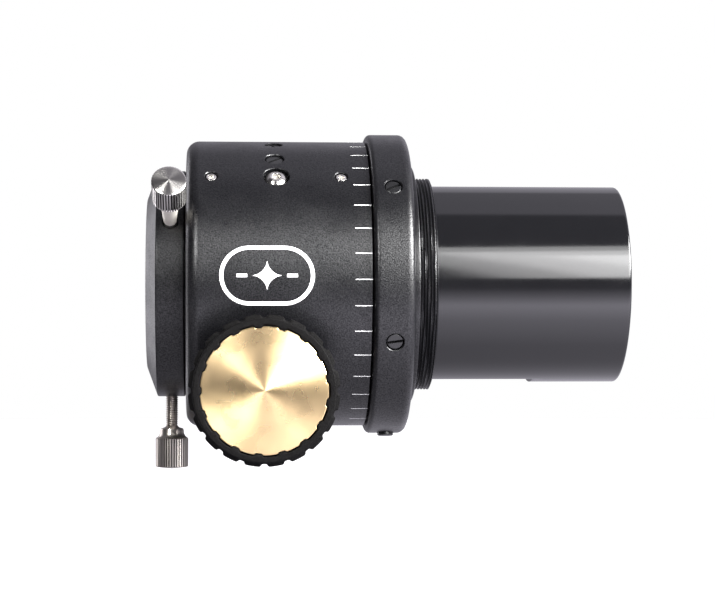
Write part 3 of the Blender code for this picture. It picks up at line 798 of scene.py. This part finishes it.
# Brightness of the studio by the angle from straight in front of the object, upwards, in degrees
STUDIO = (
    (-180, 0.6), (-146, 1.0), (-104, 1.0), (-77, 1.3), (-44, 2.3), (-26, 3.7), (-15, 1.6),
    (-6, 0.3), (2, 0.18), (45, 0.18), (86, 0.2), (90, 0.95), (134, 0.4), (138, 0.75), (180, 0.5),
)
KEY_LAYERS = (      # left edge, right edge, height, watts of the softbox's layers, brighter inwards
    (0.08, 0.95, 0.82, 14), (0.14, 1.20, 0.72, 15), (0.22, 1.40, 0.62, 15),
)
STUDIO_TOP, STUDIO_TINT = 4.0, (1.0, 0.965, 1.09)


def make_world():
    world = bpy.data.worlds.new("studio")
    bpy.context.scene.world = world
    graph = Graph(world)
    parts = graph.add("SeparateXYZ", {0: graph.add("TexCoord").outputs["Generated"]}).outputs
    forwards = graph.math("MULTIPLY", parts[1], -1.0)
    turn = graph.math("ARCTAN2", parts[2], forwards)
    share = graph.math("ADD", graph.math("DIVIDE", turn, math.tau), 0.5)
    ramp = graph.add("ValToRGB", {0: share})
    stops = ramp.color_ramp.elements
    for index, (angle, level) in enumerate(STUDIO):
        place = angle / 360 + 0.5
        stop = stops[index] if index < 2 else stops.new(place)
        stop.position = place
        stop.color = (*(level / STUDIO_TOP * tint for tint in STUDIO_TINT), 1)
    level = graph.remap(parts[0], -0.4, 0.25, 0.3 * STUDIO_TOP, 1.08 * STUDIO_TOP)
    around = graph.add("Background", {"Color": ramp.outputs[0], "Strength": level}).outputs[0]
    white = graph.add("Background", {"Color": (1, 1, 1, 1), "Strength": 1.0}).outputs[0]
    seen = graph.add("LightPath").outputs["Is Camera Ray"]
    mixed = graph.add("MixShader", {0: seen, 1: around, 2: white})
    graph.add("OutputWorld", {"Surface": mixed.outputs[0]})


def make_panel(name, place, width, height, watts, colour=(1, 1, 1)):
    """A soft light panel that faces the object."""
    light = bpy.data.lights.new(name, "AREA")
    light.shape = "RECTANGLE"
    light.size, light.size_y = width, height
    light.energy = watts
    light.color = colour
    panel = bpy.data.objects.new(name, light)
    panel.location = place
    panel.rotation_euler = (-Vector(place)).to_track_quat("-Z", "Y").to_euler()
    bpy.context.scene.collection.objects.link(panel)


def make_floor():
    outline, place = [(0, 0), (FLOOR_RADIUS / MM, 0)], Matrix.Translation((0, 0, FLOOR_Z))
    floor = turned("floor", outline, place, ROUND, closed=False)
    material = bpy.data.materials.new("pale_floor")
    graph = Graph(material)
    shader = graph.add("BsdfPrincipled", {
        "Base Color": (0.85, 0.85, 0.85, 1),
        "Roughness": 0.9,
        "Emission Color": (1, 1, 1, 1),
        "Emission Strength": 0.9,
    })
    graph.add("OutputMaterial", {"Surface": shader.outputs[0]})
    floor.data.materials.append(material)
    floor.visible_glossy = False
    floor.visible_diffuse = False
    floor.visible_shadow = False


def make_camera():
    camera = bpy.data.cameras.new("camera")
    camera.lens = CAMERA_LENS
    camera.sensor_width = 36
    holder = bpy.data.objects.new("camera", camera)
    holder.location = CAMERA_PLACE
    holder.rotation_euler = (math.radians(90 + CAMERA_PITCH), 0, -math.radians(CAMERA_YAW))
    bpy.context.scene.collection.objects.link(holder)
    bpy.context.scene.camera = holder


make_world()
for index, (left, right, height, watts) in enumerate(KEY_LAYERS, start=1):
    make_panel(f"key_panel_{index}", ((left + right) / 2, -1.0, 0.50), right - left, height, watts)
make_panel("left_panel", (-0.51, -0.93, 0.52), 0.26, 0.44, 11)
make_panel("right_panel", (0.95, -0.55, 0.52), 0.56, 0.60, 62)
make_panel("rear_panel", (-0.9, 0.7, 0.1), 0.8, 1.0, 7.5, (0.96, 0.94, 1.0))
make_floor()
make_camera()
bpy.context.scene.view_settings.view_transform = "Standard"
